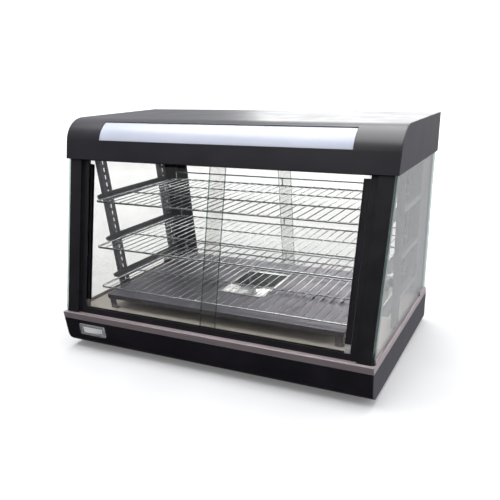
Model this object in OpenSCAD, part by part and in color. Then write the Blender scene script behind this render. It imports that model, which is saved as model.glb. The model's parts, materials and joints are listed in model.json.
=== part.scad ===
// Hot food display case: a countertop heated cabinet with a curved hood, sliding glass doors
// at the front and the rear, and wire shelves over a heated deck with a water pan.
// The front faces -Y, +Z is up, and z = 0 is the worktop under the feet. Millimetres.

/* [Overall size] */
// Width over the base and the hood
body_w = 900; // [800:10:1100]
// Depth from the front sill to the rear panel
body_d = 525; // [515:5:600]
// Height from the worktop to the top of the hood
body_h = 584; // [570:2:640]

/* [Base] */
// Height of the rubber feet
foot_h = 12; // [8:1:16]
// Height of the base from its underside to the sill
base_h = 93; // [90:1:100]
// Height of the stainless band round the top of the base
sill_h = 17; // [15:1:18]
// Radius of the rounded lower front edge
base_round = 28; // [15:1:32]
// Thickness of the painted sheet
sheet = 2; // [1.5:0.5:2.5]

/* [Glazing] */
// Lean of the glass front from upright, in degrees
lean = 18.5; // [14:0.5:20]
// Thickness of the front and side glass
glass_t = 5; // [4:0.5:5]
// Thickness of the rear door glass
rear_glass_t = 4; // [3:0.5:4]
// Overlap of each pair of doors at the middle
door_lap = 38; // [30:2:50]
// Width of the flat outer leaf of each post
post_leaf = 36; // [30:1:40]
// Width of the stepped inner leaf of each post
post_step = 18; // [12:1:24]
// Visible width of the front door handle strips
handle_w = 15; // [12:1:20]
// Width of the rear door handle strips
rear_handle_w = 30; // [20:1:36]

/* [Hood] */
// Height of the hood
hood_h = 94; // [90:1:110]
// Radius of the curve between the hood's front and its top
hood_round = 75; // [60:1:80]
// Width of the lit opal window
opal_w = 686; // [500:2:720]

/* [Shelves] */
// Height of the top shelf's wires
top_shelf_z = 383; // [370:1:400]
// Height of the middle shelf's wires
middle_shelf_z = 264; // [250:1:280]
// Height of the bottom shelf's wires
bottom_shelf_z = 153; // [152:1:170]
// Front edge of the top shelf, back from the front sill
top_shelf_y = 145; // [140:1:170]
// Front edge of the middle shelf
middle_shelf_y = 115; // [105:1:150]
// Front edge of the bottom shelf
bottom_shelf_y = 100; // [90:1:140]
// Thickness of the shelf frame wire
frame_wire = 5; // [4:0.5:6]
// Thickness of the thin wires
thin_wire = 2.4; // [2:0.1:3]
// Spacing of the thin wires
wire_pitch = 26; // [20:1:40]

/* [Heat deck] */
// Height of the deck above the worktop
deck_z = 142; // [136:1:143]
// Width of the deck
deck_w = 704; // [600:2:720]
// Width of the water pan
pan_w = 132; // [100:2:160]
// Length of the water pan from front to rear
pan_l = 169; // [120:1:180]
// Number of louvres on each side of the pan
louvres = 7; // [3:1:8]

/* [Controls] */
// How far the thermostat knob stands out of the rear panel
knob_out = 16; // [12:1:20]

/* [Hidden] */
$fn = 48;

black = [0.10, 0.09, 0.12];
grey_black = [0.20, 0.19, 0.22];
steel = [0.50, 0.47, 0.47];
dark_steel = [0.36, 0.35, 0.37];
wire_metal = [0.72, 0.75, 0.76];
clear = [0.82, 0.88, 0.86, 0.35];
white = [0.93, 0.93, 0.93];

cover_out = 9.5;
y_front = -(body_d + knob_out - cover_out) / 2;
sill_z = foot_h + base_h;
trim_z = sill_z - sill_h;
hood_z = body_h - hood_h;
half = body_w / 2;
side_out = half - 4;
side_in = side_out - glass_t;
post_out = side_in - 0.5;
post_in = post_out - post_leaf - post_step;
tube_in = post_in + post_step;
leaf_n = [8, 11];
door_end = post_in - 4;
inner_end = tube_in - 4;
glass_y = 9;
ledge = 16;
trim_w = 12;
hood_gap = 5;
hood_y = glass_y + (hood_z - sill_z) * tan(lean) - hood_gap / cos(lean);
lean_h = (hood_z - sill_z) / cos(lean);
outer_n = 15;
inner_n = 26;
track_n = [7.5, 34];
track_v = 17;
handle_v = [38, lean_h - 8];
floor_z = sill_z - 4;
floor_t = 1.2;
floor_y = 46;
floor_roll = 14;
rear_y = body_d - 20;
rear_track_z = sill_z + 15;
rear_inner_y = rear_y + 4.6;
rear_outer_y = rear_y + 13.2;
ceiling_z = hood_z + 4;
front_std_y = 217;
rear_std_y = rear_y - 35;
std_w = 32;
std_in = half - trim_w - 12.2;
shelf_half = std_in - 26;
shelf_rear = rear_std_y + std_w - 2;
arm_y = 185;
deck_y = [76, rear_std_y + 8];
pan_y = 289;
switch_x = -355;
switch_z = foot_h + 50;
rocker_tilt = 7;
power_x = 200;
knob_x = 300;
gland_x = -370;
control_z = foot_h + 42;
curve_z = body_h - hood_round;
curve_y = hood_y + (curve_z - hood_z) * tan(lean) + hood_round / cos(lean);
lamp_y = 250;
lamp_z = 532;

module placed() { translate([0, y_front, 0]) children(); }

module right() { mirror([1, 0, 0]) children(); }

module both() {
    children();
    right() children();
}

// Frame that leans with the glass front: Y is depth behind it and Z runs up it.
module leaned() { translate([0, glass_y, sill_z]) rotate([-lean, 0, 0]) children(); }

// Extrudes a profile drawn as (depth, height) along the width.
module along_x(x0, x1) {
    translate([x0, 0, 0]) rotate([90, 0, 90]) linear_extrude(x1 - x0) children();
}

module box(lo, hi) { translate(lo) cube(hi - lo); }

module rod_x(x0, x1, y, z, d) {
    translate([x0, y, z]) rotate([0, 90, 0]) cylinder(h = x1 - x0, d = d, $fn = 24);
}

module rod_y(x, y0, y1, z, d) {
    translate([x, y0, z]) rotate([-90, 0, 0]) cylinder(h = y1 - y0, d = d, $fn = 24);
}

module rounded_rect(w, l, r) {
    square([w - 2 * r, l], center = true);
    square([w, l - 2 * r], center = true);
    for (x = [-1, 1], y = [-1, 1])
        translate([x * (w / 2 - r), y * (l / 2 - r)]) circle(r);
}

// ---- Base ----

module base_outline(inset, rear, top) {
    translate([inset, foot_h + base_round])
        square([rear - inset, top - foot_h - base_round]);
    translate([base_round, foot_h + inset]) square([rear - base_round, base_round]);
    translate([base_round, foot_h + base_round]) circle(base_round - inset);
}

foot_spots = [for (x = [-1, 1], y = [55, body_d - 55]) [x * (half - 55), y]];

module base_shell() {
    color(black) placed() difference() {
        along_x(-half + sheet, half - sheet) difference() {
            base_outline(0, body_d - sheet, trim_z);
            base_outline(sheet, body_d, trim_z + 1);
        }
        for (p = foot_spots)
            translate([p.x, p.y, foot_h - 1]) cylinder(h = sheet + 2, r = 3.2);
        box([switch_x - 38, -1, switch_z - 11], [switch_x + 38, sheet + 1, switch_z + 11]);
    }
}

module base_side() {
    placed() along_x(-half, -half + sheet) base_outline(0, body_d, trim_z);
}
module base_side_left() { color(grey_black) base_side(); }
module base_side_right() { color(grey_black) right() base_side(); }

module rear_panel() {
    color(black) placed() difference() {
        box([-half + sheet, body_d - sheet, foot_h], [half - sheet, body_d, sill_z]);
        for (g = [-1, 1], i = [-6 : 6])
            box([g * 95 + i * 12 - 2.5, body_d - 5, foot_h + 26],
                [g * 95 + i * 12 + 2.5, body_d + 1, foot_h + 58]);
        box([power_x - 14.2, body_d - 5, control_z - 10.2],
            [power_x + 14.2, body_d + 1, control_z + 10.2]);
        rod_y(knob_x, body_d - 5, body_d + 1, control_z, 10.4);
        rod_y(gland_x, body_d - 5, body_d + 1, control_z, 16.4);
    }
}

module rubber_feet() {
    color([0.08, 0.08, 0.08]) placed() for (p = foot_spots) translate([p.x, p.y, 0]) difference() {
        union() {
            cylinder(h = foot_h - 3, r = 19);
            cylinder(h = foot_h, r = 16);
        }
        translate([0, 0, -1]) cylinder(h = foot_h - 4, r = 7);
        cylinder(h = foot_h + 1, r = 3.1);
    }
}

screw_spots = concat(
    [for (x = [-1, 0, 1], z = [foot_h + 12, sill_z - 12]) [x * (half - 20), body_d, z]],
    [for (x = [-1, 0, 1]) [x * (half - 20), body_d, hood_z + 30]]
);

module screws() {
    color(wire_metal) placed() {
        for (p = foot_spots) translate([p.x, p.y, foot_h]) {
            translate([0, 0, -7]) cylinder(h = sheet + 13, r = 3);
            translate([0, 0, -7]) cylinder(h = 1.9, r = 6);
            translate([0, 0, sheet + 0.1]) cylinder(h = 4, r = 5.5, $fn = 6);
        }
        for (p = screw_spots) translate(p) rotate([-90, 0, 0]) difference() {
            cylinder(h = 2, r1 = 3.8, r2 = 2.8);
            translate([0, 0, 1.5]) cube([4, 0.8, 2], center = true);
            translate([0, 0, 1.5]) cube([0.8, 4, 2], center = true);
        }
    }
}

// A bent strip with a raised ridge, and a seat for each front post at its ends.
module sill_front() {
    color(steel) placed() difference() {
        union() {
            along_x(-half, half) translate([0, trim_z]) square([ledge, sill_h]);
            along_x(-half, half) translate([4.5, sill_z - 1]) square([1.6, 2]);
            both() box([-half, ledge - 1, trim_z], [-tube_in, floor_y, sill_z]);
        }
        box([-half + 2, 2, trim_z - 1], [half - 2, ledge + 1, sill_z - 12.2]);
        box([-side_in + 3, 2, trim_z - 1], [side_in - 3, ledge + 1, sill_z - 2]);
        both() {
            box([-side_in + 3, ledge - 2, trim_z - 1], [-tube_in + 1, floor_y - 2, sill_z - 2]);
            box([-side_out - 0.2, glass_y + 2.8, sill_z - 12],
                [-side_in + 0.2, floor_y + 1, sill_z + 1]);
            box([-half - 1, ledge - 1, sill_z - 8], [-half + 1, floor_y + 1, sill_z - 6.4]);
        }
    }
}

module side_trim() {
    placed() translate([0, body_d - sheet, 0]) rotate([90, 0, 0])
        linear_extrude(body_d - sheet - floor_y) difference() {
            translate([-half, trim_z]) square([trim_w, sill_h]);
            translate([-side_out - 0.2, sill_z - 12]) square([glass_t + 0.4, 13]);
            translate([-half - 1, sill_z - 8]) square([2, 1.6]);
            translate([-half + 2, trim_z - 1]) square([trim_w - 4, 4]);
        }
}
module side_trim_left() { color(steel) side_trim(); }
module side_trim_right() { color(steel) right() side_trim(); }

// ---- Cabinet floor and heat deck ----

// Side view of the floor, filled down to its front edge, with a rounded front corner.
module floor_outline(inset, bottom) {
    difference() {
        translate([floor_y + inset, bottom])
            square([rear_y - floor_y - inset, floor_z - inset - bottom]);
        translate([floor_y, floor_z - floor_roll]) difference() {
            translate([-1, 0]) square(floor_roll + 1);
            translate([floor_roll, 0]) circle(floor_roll - inset);
        }
    }
}

module floor_pan() {
    color([0.66, 0.63, 0.58]) placed() along_x(-half + trim_w, half - trim_w) difference() {
        floor_outline(0, trim_z - 6);
        floor_outline(floor_t, trim_z - 7);
        translate([floor_y + floor_roll, trim_z - 7])
            square([rear_y, floor_z - floor_t - trim_z + 7]);
    }
}

module heat_deck() {
    color(dark_steel) placed() difference() {
        box([-deck_w / 2, deck_y[0], deck_z - 13], [deck_w / 2, deck_y[1], deck_z]);
        box([-deck_w / 2 + 1.5, deck_y[0] + 1.5, deck_z - 14],
            [deck_w / 2 - 1.5, deck_y[1] - 1.5, deck_z - 1.5]);
        box([-pan_w / 2 - 1, pan_y - pan_l / 2 - 1, deck_z - 5],
            [pan_w / 2 + 1, pan_y + pan_l / 2 + 1, deck_z + 1]);
        for (s = [-1, 1], i = [0 : louvres - 1])
            box([s * (pan_w / 2 + 49 + i * 28) - 3.5, pan_y - 65, deck_z - 5],
                [s * (pan_w / 2 + 49 + i * 28) + 3.5, pan_y + 17, deck_z + 1]);
    }
}

module deck_legs() {
    color(dark_steel) placed() for (s = [-1, 1], e = [0, 1]) {
        x = s * (deck_w / 2 - 14);
        y = e == 0 ? deck_y[0] + 1.6 : deck_y[1] - 3.1;
        box([x - 10, y, floor_z], [x + 10, y + 1.5, deck_z - 1.6]);
        box([x - 10, e == 0 ? y : y - 12, floor_z], [x + 10, e == 0 ? y + 13.5 : y + 1.5, floor_z + 1.5]);
    }
}

module water_pan() {
    color([0.78, 0.78, 0.78]) placed() translate([0, pan_y, 0]) difference() {
        union() {
            translate([0, 0, deck_z + 0.1]) linear_extrude(1.2) rounded_rect(pan_w + 16, pan_l + 16, 8);
            translate([0, 0, deck_z - 26]) linear_extrude(27) rounded_rect(pan_w, pan_l, 4);
        }
        translate([0, 0, deck_z - 24.8]) linear_extrude(30) rounded_rect(pan_w - 2.4, pan_l - 2.4, 3);
    }
}

heater_x = [100, 290];
heater_y = [pan_y - 45, pan_y + 5];
heater_z = 120;

module heater() {
    for (y = heater_y) rod_x(heater_x[0], heater_x[1], y, heater_z, 8);
    translate([heater_x[1], (heater_y[0] + heater_y[1]) / 2, heater_z]) rotate([0, 0, -90])
        rotate_extrude(angle = 180) translate([(heater_y[1] - heater_y[0]) / 2, 0]) circle(4);
}
module heaters() { color([0.45, 0.33, 0.28]) placed() both() heater(); }

module heater_mounts() {
    color(white) placed() both() {
        for (y = heater_y) box([heater_x[0] - 14, y - 9, floor_z], [heater_x[0], y + 9, heater_z + 9]);
        difference() {
            box([240, heater_y[0] - 12, floor_z], [243, heater_y[1] + 12, heater_z + 8]);
            for (y = heater_y) rod_x(238, 245, y, heater_z, 8.4);
        }
    }
}

// ---- Door tracks ----

// Runs a door guide's profile between the posts, and its part behind their thin leaves further.
module front_guide() {
    leaned() {
        along_x(-post_in, post_in) children();
        along_x(-tube_in, tube_in) intersection() {
            children();
            translate([leaf_n[1] + 0.6, -50]) square([50, lean_h + 100]);
        }
    }
}

module front_track() {
    color(black) placed() front_guide() difference() {
        translate([track_n[0], -12]) square([track_n[1] - track_n[0], track_v + 12]);
        for (n = [outer_n, inner_n]) translate([n - glass_t / 2 - 1.5, -9])
            square([glass_t + 3, track_v + 10]);
    }
}

module front_channel() {
    color(black) placed() {
        front_guide() difference() {
            translate([track_n[0], lean_h + 2]) square([track_n[1] - track_n[0], 20]);
            for (n = [outer_n, inner_n]) translate([n - glass_t / 2 - 1.5, lean_h + 1])
                square([glass_t + 3, 18]);
        }
        leaned() along_x(-post_in, post_in)
            translate([-hood_gap + sheet, lean_h + 19]) square([12, 3]);
    }
}

module rear_guide(z0, z1, slot0, slot1) {
    along_x(-post_in, post_in) difference() {
        translate([rear_y, z0]) square([20 - sheet, z1 - z0]);
        for (y = [rear_inner_y, rear_outer_y]) translate([y - rear_glass_t / 2 - 1.3, slot0])
            square([rear_glass_t + 2.6, slot1 - slot0]);
    }
}
module rear_track() {
    color(black) placed() rear_guide(sill_z - 5, rear_track_z, sill_z - 1, rear_track_z + 1);
}
module rear_channel() {
    color(black) placed() rear_guide(hood_z - 4, hood_z + 14, hood_z - 5, hood_z + 11);
}

// ---- Posts and side glass ----

module front_post() {
    placed() intersection() {
        leaned() translate([0, 0, -40]) linear_extrude(lean_h + 80) difference() {
            translate([-post_out, 0]) square([post_out - post_in, track_n[1]]);
            translate([-tube_in, -1]) square([post_step + 1, leaf_n[0] + 1]);
            translate([-tube_in, leaf_n[1]]) square([post_step + 1, 50]);
            translate([-post_out + 4, 5]) square([post_leaf - 8, track_n[1] - 10]);
        }
        box([-half, 0, sill_z], [half, body_d, ceiling_z]);
    }
}
module front_post_left() { color(black) front_post(); }
module front_post_right() { color(black) right() front_post(); }

module rear_post() {
    placed() translate([0, 0, sill_z]) linear_extrude(ceiling_z - sill_z) difference() {
        translate([-post_out, rear_y]) square([post_out - post_in, 20 - sheet]);
        translate([-post_in - post_step, rear_y - 1]) square([post_step + 1, 2]);
        translate([-post_out + 4, rear_y + 4]) square([post_leaf - 8, 20 - sheet - 8]);
    }
}
module rear_post_left() { color(black) rear_post(); }
module rear_post_right() { color(black) right() rear_post(); }

module side_glass() {
    z0 = sill_z - 11;
    z1 = hood_z + 12;
    placed() along_x(-side_out, -side_in) polygon([
        [glass_y + 3, z0], [glass_y + 3, sill_z + 3 / tan(lean)],
        [glass_y + (z1 - sill_z) * tan(lean), z1], [body_d - 6, z1], [body_d - 6, z0]
    ]);
}
module side_glass_left() { color(clear) side_glass(); }
module side_glass_right() { color(clear) right() side_glass(); }

module glass_clips() {
    color(steel) placed() both() for (y = [18, body_d - 78]) {
        box([-side_out - 1.7, y, sill_z + 0.1], [-side_out - 0.2, y + 58, sill_z + 11]);
        box([-half + 0.3, y, sill_z + 0.1], [-side_out - 0.2, y + 58, sill_z + 1.6]);
    }
}

// ---- Shelf supports and shelves ----

module standard(y) {
    translate([-std_in, y, floor_z]) difference() {
        translate([-12, 0, 0]) cube([12, std_w, ceiling_z - floor_z]);
        translate([-13, 1.5, -1]) cube([11.5, std_w - 3, ceiling_z - floor_z + 2]);
        for (i = [1 : 18]) translate([-3, std_w / 2 - 2, i * 20]) cube([4, 4, 11]);
    }
}
module front_standards() { color([0.42, 0.41, 0.43]) placed() both() standard(front_std_y); }
module rear_standards() { color([0.42, 0.41, 0.43]) placed() both() standard(rear_std_y); }

// Height of an arm's hook, inside the slot nearest to the top of its flange.
function hook_z(top) = max(floor_z + 20 * round((top - floor_z) / 20) + 0.5, top - 1);

// A side arm: an upright web on the standards and a flange that carries the shelf's side wire.
module arm(z) {
    top = z - thin_wire - frame_wire + 0.5;
    y1 = rear_std_y + std_w;
    translate([-std_in, 0, 0]) {
        translate([1.6, 0, top]) rotate([0, -90, 0]) linear_extrude(1.5)
            polygon([[-1.5, arm_y + 4], [6, arm_y], [9, arm_y + 3], [12, arm_y + 30],
                [12, y1], [-1.5, y1]]);
        translate([0.1, arm_y + 4, top - 1.5]) cube([32, y1 - arm_y - 4, 1.5]);
        for (y = [front_std_y, rear_std_y])
            translate([-3, y + std_w / 2 - 1.2, hook_z(top)]) cube([4, 2.4, 6]);
    }
}
module shelf_arms() {
    for (z = [top_shelf_z, middle_shelf_z, bottom_shelf_z]) arm(z);
}
module shelf_arms_left() { color([0.42, 0.41, 0.43]) placed() shelf_arms(); }
module shelf_arms_right() { color([0.42, 0.41, 0.43]) placed() right() shelf_arms(); }

module bend(x, y, z, r, turn) {
    translate([x, y, z]) rotate([0, 0, turn]) rotate_extrude(angle = 90, $fn = 24)
        translate([r, 0]) circle(d = frame_wire, $fn = 24);
}

// A wire shelf: a frame of thick wire, cross wires under the thin ones, and a rear rail.
module shelf(z, y0) {
    zc = z - thin_wire / 2 - frame_wire / 2 - thin_wire / 2 + 0.7;
    r = 14;
    w = shelf_half - frame_wire / 2;
    ya = y0 + frame_wire / 2;
    yb = shelf_rear - frame_wire / 2;
    rod_x(-w + r, w - r, ya, zc, frame_wire);
    rod_x(-w + r, w - r, yb, zc, frame_wire);
    for (x = [-w, w]) rod_y(x, ya + r, yb - r, zc, frame_wire);
    bend(-w + r, ya + r, zc, r, 180);
    bend(w - r, ya + r, zc, r, 270);
    bend(w - r, yb - r, zc, r, 0);
    bend(-w + r, yb - r, zc, r, 90);
    for (f = [0.38, 0.7]) rod_x(-w, w, ya + f * (yb - ya), zc, frame_wire - 1);
    wires = floor((w - r) / wire_pitch);
    for (i = [-wires : wires])
        rod_y(i * wire_pitch, ya, yb, z - thin_wire / 2, thin_wire);
    rail = zc + 22;
    rod_x(-w + r, w - r, yb, rail, frame_wire - 1);
    for (x = [-w + r, 0, w - r]) translate([x, yb, zc])
        cylinder(h = rail - zc + (x == 0 ? 0 : frame_wire / 2 - 0.5), d = frame_wire - 1, $fn = 24);
}
module top_shelf() { color(wire_metal) placed() shelf(top_shelf_z, top_shelf_y); }
module middle_shelf() { color(wire_metal) placed() shelf(middle_shelf_z, middle_shelf_y); }
module bottom_shelf() { color(wire_metal) placed() shelf(bottom_shelf_z, bottom_shelf_y); }

// ---- Front doors ----

module front_door_glass(n, end) {
    placed() leaned() translate([-end, n - glass_t / 2, -8])
        cube([end + door_lap / 2, glass_t, lean_h + 20]);
}
module front_door_handle(n, end) {
    placed() leaned() difference() {
        translate([-end - 2.5, n - 5, handle_v[0]]) cube([handle_w, 10, handle_v[1] - handle_v[0]]);
        translate([-end - 0.2, n - glass_t / 2 - 0.1, 0]) cube([handle_w, glass_t + 0.2, lean_h]);
        translate([-end + handle_w - 6, n - 6, 0]) cube([2, 2.2, lean_h]);
    }
}
module front_door_glides(n, end) {
    placed() leaned() difference() {
        union() {
            translate([-end - 2.2, n - 3.4, -8.7]) cube([handle_w - 1, 6.8, handle_v[0] + 8.4]);
            translate([door_lap / 2 - 26, n - 3.4, -8.7]) cube([24, 6.8, 7.5]);
        }
        translate([-end - 0.2, n - glass_t / 2 - 0.1, -8.1]) cube([end * 2, glass_t + 0.2, 60]);
    }
}
module front_door_glass_left() { color(clear) front_door_glass(inner_n, inner_end); }
module front_door_glass_right() { color(clear) right() front_door_glass(outer_n, door_end); }
module front_door_handle_left() { color(black) front_door_handle(inner_n, inner_end); }
module front_door_handle_right() { color(black) right() front_door_handle(outer_n, door_end); }
module front_door_glides_left() { color([0.6, 0.6, 0.6]) front_door_glides(inner_n, inner_end); }
module front_door_glides_right() { color([0.6, 0.6, 0.6]) right() front_door_glides(outer_n, door_end); }

// ---- Rear doors ----

module rear_door_glass(y) {
    placed() translate([-door_end, y - rear_glass_t / 2, sill_z - 0.5])
        cube([door_end + door_lap / 2, rear_glass_t, hood_z + 7 - sill_z]);
}
module rear_door_handle(y) {
    placed() difference() {
        translate([-door_end - 2.5, y - 3.6, rear_track_z + 4])
            cube([rear_handle_w, 7.2, hood_z - rear_track_z - 16]);
        translate([-door_end - 0.2, y - rear_glass_t / 2 - 0.1, sill_z])
            cube([rear_handle_w + 5, rear_glass_t + 0.2, hood_z - sill_z]);
    }
}
module rear_door_glass_left() { color(clear) rear_door_glass(rear_outer_y); }
module rear_door_glass_right() { color(clear) right() rear_door_glass(rear_inner_y); }
module rear_door_handle_left() { color(black) rear_door_handle(rear_outer_y); }
module rear_door_handle_right() { color(black) right() rear_door_handle(rear_inner_y); }

// ---- Hood ----

// Side view of the hood: a leaning front and a flat top, with a curve cut between them.
module hood_outline(inset, bottom) {
    r = hood_round - inset;
    low_y = hood_y + inset / cos(lean) + (bottom - hood_z) * tan(lean);
    high_y = low_y + (body_h - inset - bottom) * tan(lean);
    difference() {
        polygon([[low_y, bottom], [high_y, body_h - inset],
            [body_d - inset, body_h - inset], [body_d - inset, bottom]]);
        difference() {
            polygon([[curve_y, curve_z],
                [curve_y - 2 * r * cos(lean), curve_z + 2 * r * sin(lean)],
                [curve_y - 2 * r * cos(lean), curve_z + 2 * r], [curve_y, curve_z + 2 * r]]);
            translate([curve_y, curve_z]) circle(r, $fn = 96);
        }
    }
}

// A slice of the curve between two angles from the top.
module curve_wedge(a0, a1) {
    far = 4 * hood_round;
    polygon([[curve_y, curve_z], [curve_y - far * sin(a0), curve_z + far * cos(a0)],
        [curve_y - far * sin(a1), curve_z + far * cos(a1)]]);
}

module hood_shell() {
    color(black) placed() difference() {
        along_x(-half + sheet, half - sheet) difference() {
            hood_outline(0, hood_z);
            hood_outline(sheet, hood_z - 1);
        }
        along_x(-opal_w / 2, opal_w / 2) curve_wedge(26, 69);
    }
}

module hood_side() { placed() along_x(-half, -half + sheet) hood_outline(0, hood_z); }
module hood_side_left() { color(grey_black) hood_side(); }
module hood_side_right() { color(grey_black) right() hood_side(); }

module opal_panel() {
    color([0.86, 0.86, 0.92]) placed() along_x(-opal_w / 2 - 6, opal_w / 2 + 6) intersection() {
        translate([curve_y, curve_z]) difference() {
            circle(hood_round - sheet - 0.1, $fn = 96);
            circle(hood_round - sheet - 3.1, $fn = 96);
        }
        curve_wedge(22, 90 - lean);
    }
}

module hood_ceiling() {
    color([0.7, 0.7, 0.7]) placed() difference() {
        box([-side_in + 1, hood_y + 60, ceiling_z], [side_in - 1, rear_y - 1, ceiling_z + 1.5]);
        box([-300, lamp_y - 20, ceiling_z - 1], [300, lamp_y + 20, ceiling_z + 3]);
    }
}

module lamp_tube() {
    color(white) placed() {
        rod_x(-284, 284, lamp_y, lamp_z, 26);
        for (s = [-1, 1]) rod_x(s > 0 ? 284 : -300, s > 0 ? 300 : -284, lamp_y, lamp_z, 27);
    }
}

module lamp_holders() {
    color(white) placed() both() difference() {
        box([-308, lamp_y - 16, ceiling_z + 1.5], [-291, lamp_y + 16, lamp_z + 17]);
        rod_x(-300.1, -280, lamp_y, lamp_z, 27.4);
    }
}

module lamp_driver() {
    color([0.75, 0.75, 0.72]) placed() {
        box([-110, 360, ceiling_z + 1.5], [110, 402, ceiling_z + 31]);
        box([-126, 366, ceiling_z + 1.5], [126, 396, ceiling_z + 3]);
    }
}

// ---- Light switch at the front of the base ----

module light_switch_bezel() {
    color(wire_metal) placed() translate([switch_x, 0, switch_z]) difference() {
        union() {
            translate([0, 0, 0]) rotate([90, 0, 0]) linear_extrude(2.5) rounded_rect(86, 31, 3);
            box([-37, 0, -10.5], [37, 20, 10.5]);
        }
        box([-35, -4, -8.5], [35, 18, 8.5]);
        translate([0, 10, 0]) cylinder(h = 19.6, d = 3.1, center = true);
    }
}

// The rocker turns about an upright pin; at rest its left end is pressed in.
module light_rocker() {
    color(white) placed() translate([switch_x, 10, switch_z]) {
        rotate([0, 0, rocker_tilt]) intersection() {
            box([-32, -13, -8], [32, 3, 8]);
            translate([0, 138, 0]) cylinder(h = 20, r = 150, center = true, $fn = 180);
        }
        cylinder(h = 19, d = 3, center = true);
    }
}

module light_switch_cover() {
    color(clear) placed() translate([switch_x, 0, switch_z]) difference() {
        box([-40, -cover_out, -12.5], [40, -2.6, 12.5]);
        box([-38.8, -cover_out + 1.2, -11.3], [38.8, 0, 11.3]);
    }
}

// ---- Rear controls ----

module power_switch_body() {
    color(black) placed() translate([power_x, body_d, control_z]) difference() {
        union() {
            box([-16, 0, -12], [16, 2, 12]);
            box([-14, -22, -10], [14, 0.1, 10]);
        }
        box([-11, -10, -7.5], [11, 3, 7.5]);
        translate([0, -2, 0]) cylinder(h = 18.6, d = 3.1, center = true);
    }
}

module power_rocker() {
    color([0.6, 0.08, 0.08]) placed() translate([power_x, body_d - 2, control_z]) {
        rotate([0, 0, rocker_tilt]) intersection() {
            box([-10, -4, -7], [10, 6.5, 7]);
            translate([0, -24, 0]) cylinder(h = 20, r = 30.5, center = true, $fn = 96);
        }
        cylinder(h = 18, d = 3, center = true);
    }
}

module thermostat() {
    color([0.7, 0.7, 0.68]) placed() translate([knob_x, body_d, control_z]) difference() {
        union() {
            box([-20, -30, -16], [20, -sheet - 0.1, 16]);
            rotate([-90, 0, 0]) translate([0, 0, -8]) cylinder(h = 12, d = 10);
            translate([0, 0.1, 0]) rotate([-90, 0, 0]) cylinder(h = 2.4, r = 8, $fn = 6);
        }
        translate([0, -21, 0]) rotate([-90, 0, 0]) cylinder(h = 30, d = 6.1);
    }
}

module thermostat_knob() {
    color(black) placed() translate([knob_x, body_d, control_z]) {
        difference() {
            union() {
                translate([0, 5, 0]) rotate([-90, 0, 0]) cylinder(h = 3, r = 21);
                translate([0, 8, 0]) rotate([-90, 0, 0]) cylinder(h = knob_out - 8, r = 16);
                box([-3, 8, -17.5], [3, knob_out, 17.5]);
            }
            for (a = [0 : 30 : 359]) rotate([0, a, 0])
                translate([16.6, 9.5, 0]) rotate([-90, 0, 0]) cylinder(h = 20, r = 1.6);
        }
        translate([0, -20, 0]) rotate([-90, 0, 0]) cylinder(h = 26, d = 6);
    }
}

module cable_gland() {
    color(black) placed() translate([gland_x, body_d, control_z]) rotate([-90, 0, 0]) difference() {
        union() {
            translate([0, 0, -12]) cylinder(h = 16, d = 16);
            translate([0, 0, 0.1]) cylinder(h = 4, r = 12, $fn = 6);
            translate([0, 0, 4]) cylinder(h = 9, d = 19);
            translate([0, 0, -sheet - 4.2]) cylinder(h = 4, r = 12, $fn = 6);
        }
        translate([0, 0, -13]) cylinder(h = 30, d = 9);
    }
}

base_shell();
base_side_left();
base_side_right();
rear_panel();
rubber_feet();
screws();
sill_front();
side_trim_left();
side_trim_right();
floor_pan();
heat_deck();
deck_legs();
water_pan();
heaters();
heater_mounts();
front_track();
rear_track();
front_post_left();
front_post_right();
rear_post_left();
rear_post_right();
side_glass_left();
side_glass_right();
glass_clips();
front_standards();
rear_standards();
shelf_arms_left();
shelf_arms_right();
top_shelf();
middle_shelf();
bottom_shelf();
front_door_glass_left();
front_door_handle_left();
front_door_glides_left();
front_door_glass_right();
front_door_handle_right();
front_door_glides_right();
rear_door_glass_left();
rear_door_handle_left();
rear_door_glass_right();
rear_door_handle_right();
hood_shell();
hood_side_left();
hood_side_right();
opal_panel();
hood_ceiling();
front_channel();
rear_channel();
lamp_tube();
lamp_holders();
lamp_driver();
light_switch_bezel();
light_rocker();
light_switch_cover();
power_switch_body();
power_rocker();
thermostat();
thermostat_knob();
cable_gland();
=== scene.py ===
import json
import math
import bpy
from mathutils import Matrix, Vector

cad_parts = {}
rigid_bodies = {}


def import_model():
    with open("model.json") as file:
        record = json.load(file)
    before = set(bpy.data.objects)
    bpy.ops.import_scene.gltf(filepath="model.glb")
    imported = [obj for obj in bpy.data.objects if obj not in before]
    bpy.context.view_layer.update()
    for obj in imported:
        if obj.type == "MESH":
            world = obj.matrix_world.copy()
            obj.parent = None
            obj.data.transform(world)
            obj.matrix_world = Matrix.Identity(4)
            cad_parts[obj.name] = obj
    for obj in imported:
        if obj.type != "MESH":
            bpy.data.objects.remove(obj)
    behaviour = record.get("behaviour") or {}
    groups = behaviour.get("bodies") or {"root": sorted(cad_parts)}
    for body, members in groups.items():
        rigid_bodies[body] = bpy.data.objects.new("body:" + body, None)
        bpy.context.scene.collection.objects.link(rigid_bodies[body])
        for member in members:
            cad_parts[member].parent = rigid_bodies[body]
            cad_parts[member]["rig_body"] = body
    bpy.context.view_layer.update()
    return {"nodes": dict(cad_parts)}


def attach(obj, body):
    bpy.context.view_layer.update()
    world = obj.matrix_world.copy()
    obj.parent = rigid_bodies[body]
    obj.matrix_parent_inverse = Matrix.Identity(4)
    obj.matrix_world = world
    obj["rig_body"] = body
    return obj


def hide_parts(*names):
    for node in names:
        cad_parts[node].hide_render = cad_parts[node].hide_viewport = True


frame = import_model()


# ---- Base tray ----
# Steel sheet, 2 mm, folded round the lower front edge and powder coated satin black. It is open
# at the top, where the stainless sill drops over it, and has a window for the light switch.
FRONT = -0.26575      # the front plane of the case, in metres along Y


def case(x, depth, height):
    """A point given in millimetres from the middle, behind the front plane and off the worktop."""
    return Vector((x / 1000, depth / 1000 + FRONT, height / 1000))


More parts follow.
